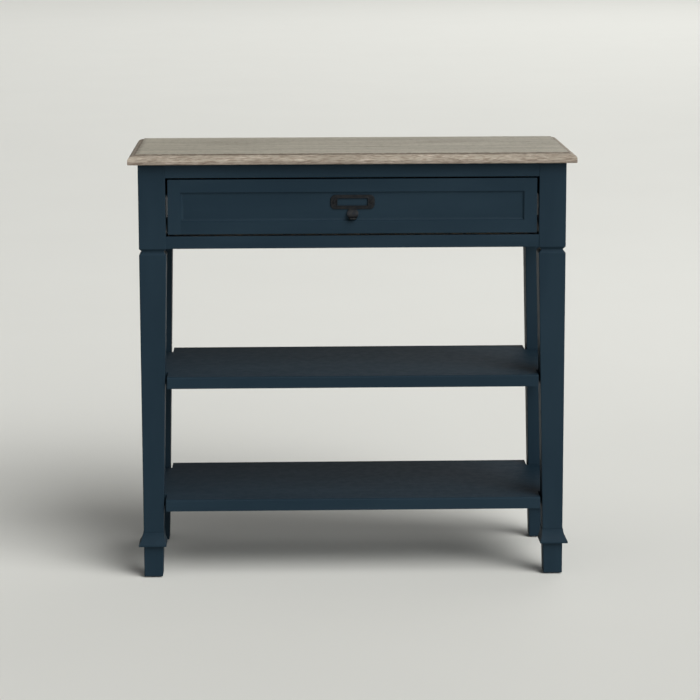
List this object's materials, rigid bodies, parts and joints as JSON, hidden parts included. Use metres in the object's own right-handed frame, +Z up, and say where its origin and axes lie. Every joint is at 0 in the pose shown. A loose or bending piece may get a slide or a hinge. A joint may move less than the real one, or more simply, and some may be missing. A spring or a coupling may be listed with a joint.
{
  "type": "kitchen island table",
  "caption": "Counter-height kitchen island table: moulded top on tapered square legs with ankle collars, an inset drawer with a card-frame pull, and open shelves.",
  "frame": {"origin": "on the floor, under the middle of the top", "axes": "+X along the length of the top, +Y towards the back, +Z up; the drawer opens towards -Y"},
  "size_m": [0.942, 0.406, 0.914],
  "materials": {
    "grey_wood": "grey-washed wood, satin lacquer",
    "painted_navy": "dark navy satin paint on wood",
    "frame_wood": "plain unpainted softwood",
    "drawer_wood": "clear-lacquered birch",
    "beech": "plain beech",
    "zinc_steel": "zinc-plated rolled steel",
    "fastener_steel": "zinc-plated steel",
    "ball_steel": "polished bearing steel",
    "dark_bronze": "dark oil-rubbed bronze",
    "nylon": "dark brown nylon"
  },
  "bodies": {
    "frame": {"back_apron": "painted_navy", "cleat_screws": "fastener_steel", "corner_bolt_nuts": "fastener_steel", "corner_bolt_washers": "fastener_steel", "corner_bolts": "fastener_steel", "foot_glides": "nylon", "frame_dowels": "beech", "front_bottom_rail": "painted_navy", "front_left_collar": "painted_navy", "front_left_corner_block": "frame_wood", "front_left_leg": "painted_navy", "front_right_collar": "painted_navy", "front_right_corner_block": "frame_wood", "front_right_leg": "painted_navy", "front_top_rail": "painted_navy", "left_side_apron": "painted_navy", "left_slide_cleat": "frame_wood", "left_slide_outer": "zinc_steel", "lower_left_shelf_rail": "painted_navy", "lower_right_shelf_rail": "painted_navy", "lower_shelf": "painted_navy", "lower_shelf_screws": "fastener_steel", "rear_left_collar": "painted_navy", "rear_left_corner_block": "frame_wood", "rear_left_leg": "painted_navy", "rear_right_collar": "painted_navy", "rear_right_corner_block": "frame_wood", "rear_right_leg": "painted_navy", "right_side_apron": "painted_navy", "right_slide_cleat": "frame_wood", "right_slide_outer": "zinc_steel", "shelf_rail_dowels": "beech", "slide_screws": "fastener_steel", "tabletop": "grey_wood", "top_screws": "fastener_steel", "upper_left_shelf_rail": "painted_navy", "upper_right_shelf_rail": "painted_navy", "upper_shelf": "painted_navy", "upper_shelf_screws": "fastener_steel"},
    "drawer": {"drawer_back": "drawer_wood", "drawer_bottom": "drawer_wood", "drawer_dowels": "beech", "drawer_front_bottom_rail": "painted_navy", "drawer_front_left_stile": "painted_navy", "drawer_front_panel": "painted_navy", "drawer_front_right_stile": "painted_navy", "drawer_front_screws": "fastener_steel", "drawer_front_top_rail": "painted_navy", "drawer_inner_front": "drawer_wood", "drawer_left_side": "drawer_wood", "drawer_right_side": "drawer_wood", "drawer_slide_screws": "fastener_steel", "left_slide_inner": "zinc_steel", "pull": "dark_bronze", "pull_screws": "dark_bronze", "right_slide_inner": "zinc_steel"},
    "slide_middle_left": {"left_slide_middle": "zinc_steel", "left_slide_balls": "ball_steel"},
    "slide_middle_right": {"right_slide_middle": "zinc_steel", "right_slide_balls": "ball_steel"}
  },
  "joints": [
    {"name": "drawer_slide", "type": "slide", "parent": "frame", "child": "drawer", "axis": [0, -1, 0], "range_m": [0, 0.28]},
    {"name": "left_middle_slide", "type": "slide", "parent": "frame", "child": "slide_middle_left", "axis": [0, -1, 0], "range_m": [0, 0.14]},
    {"name": "right_middle_slide", "type": "slide", "parent": "frame", "child": "slide_middle_right", "axis": [0, -1, 0], "range_m": [0, 0.14]}
  ],
  "couplings": [
    {"joint": "left_middle_slide", "follows": "drawer_slide", "ratio": 0.5},
    {"joint": "right_middle_slide", "follows": "drawer_slide", "ratio": 0.5}
  ]
}
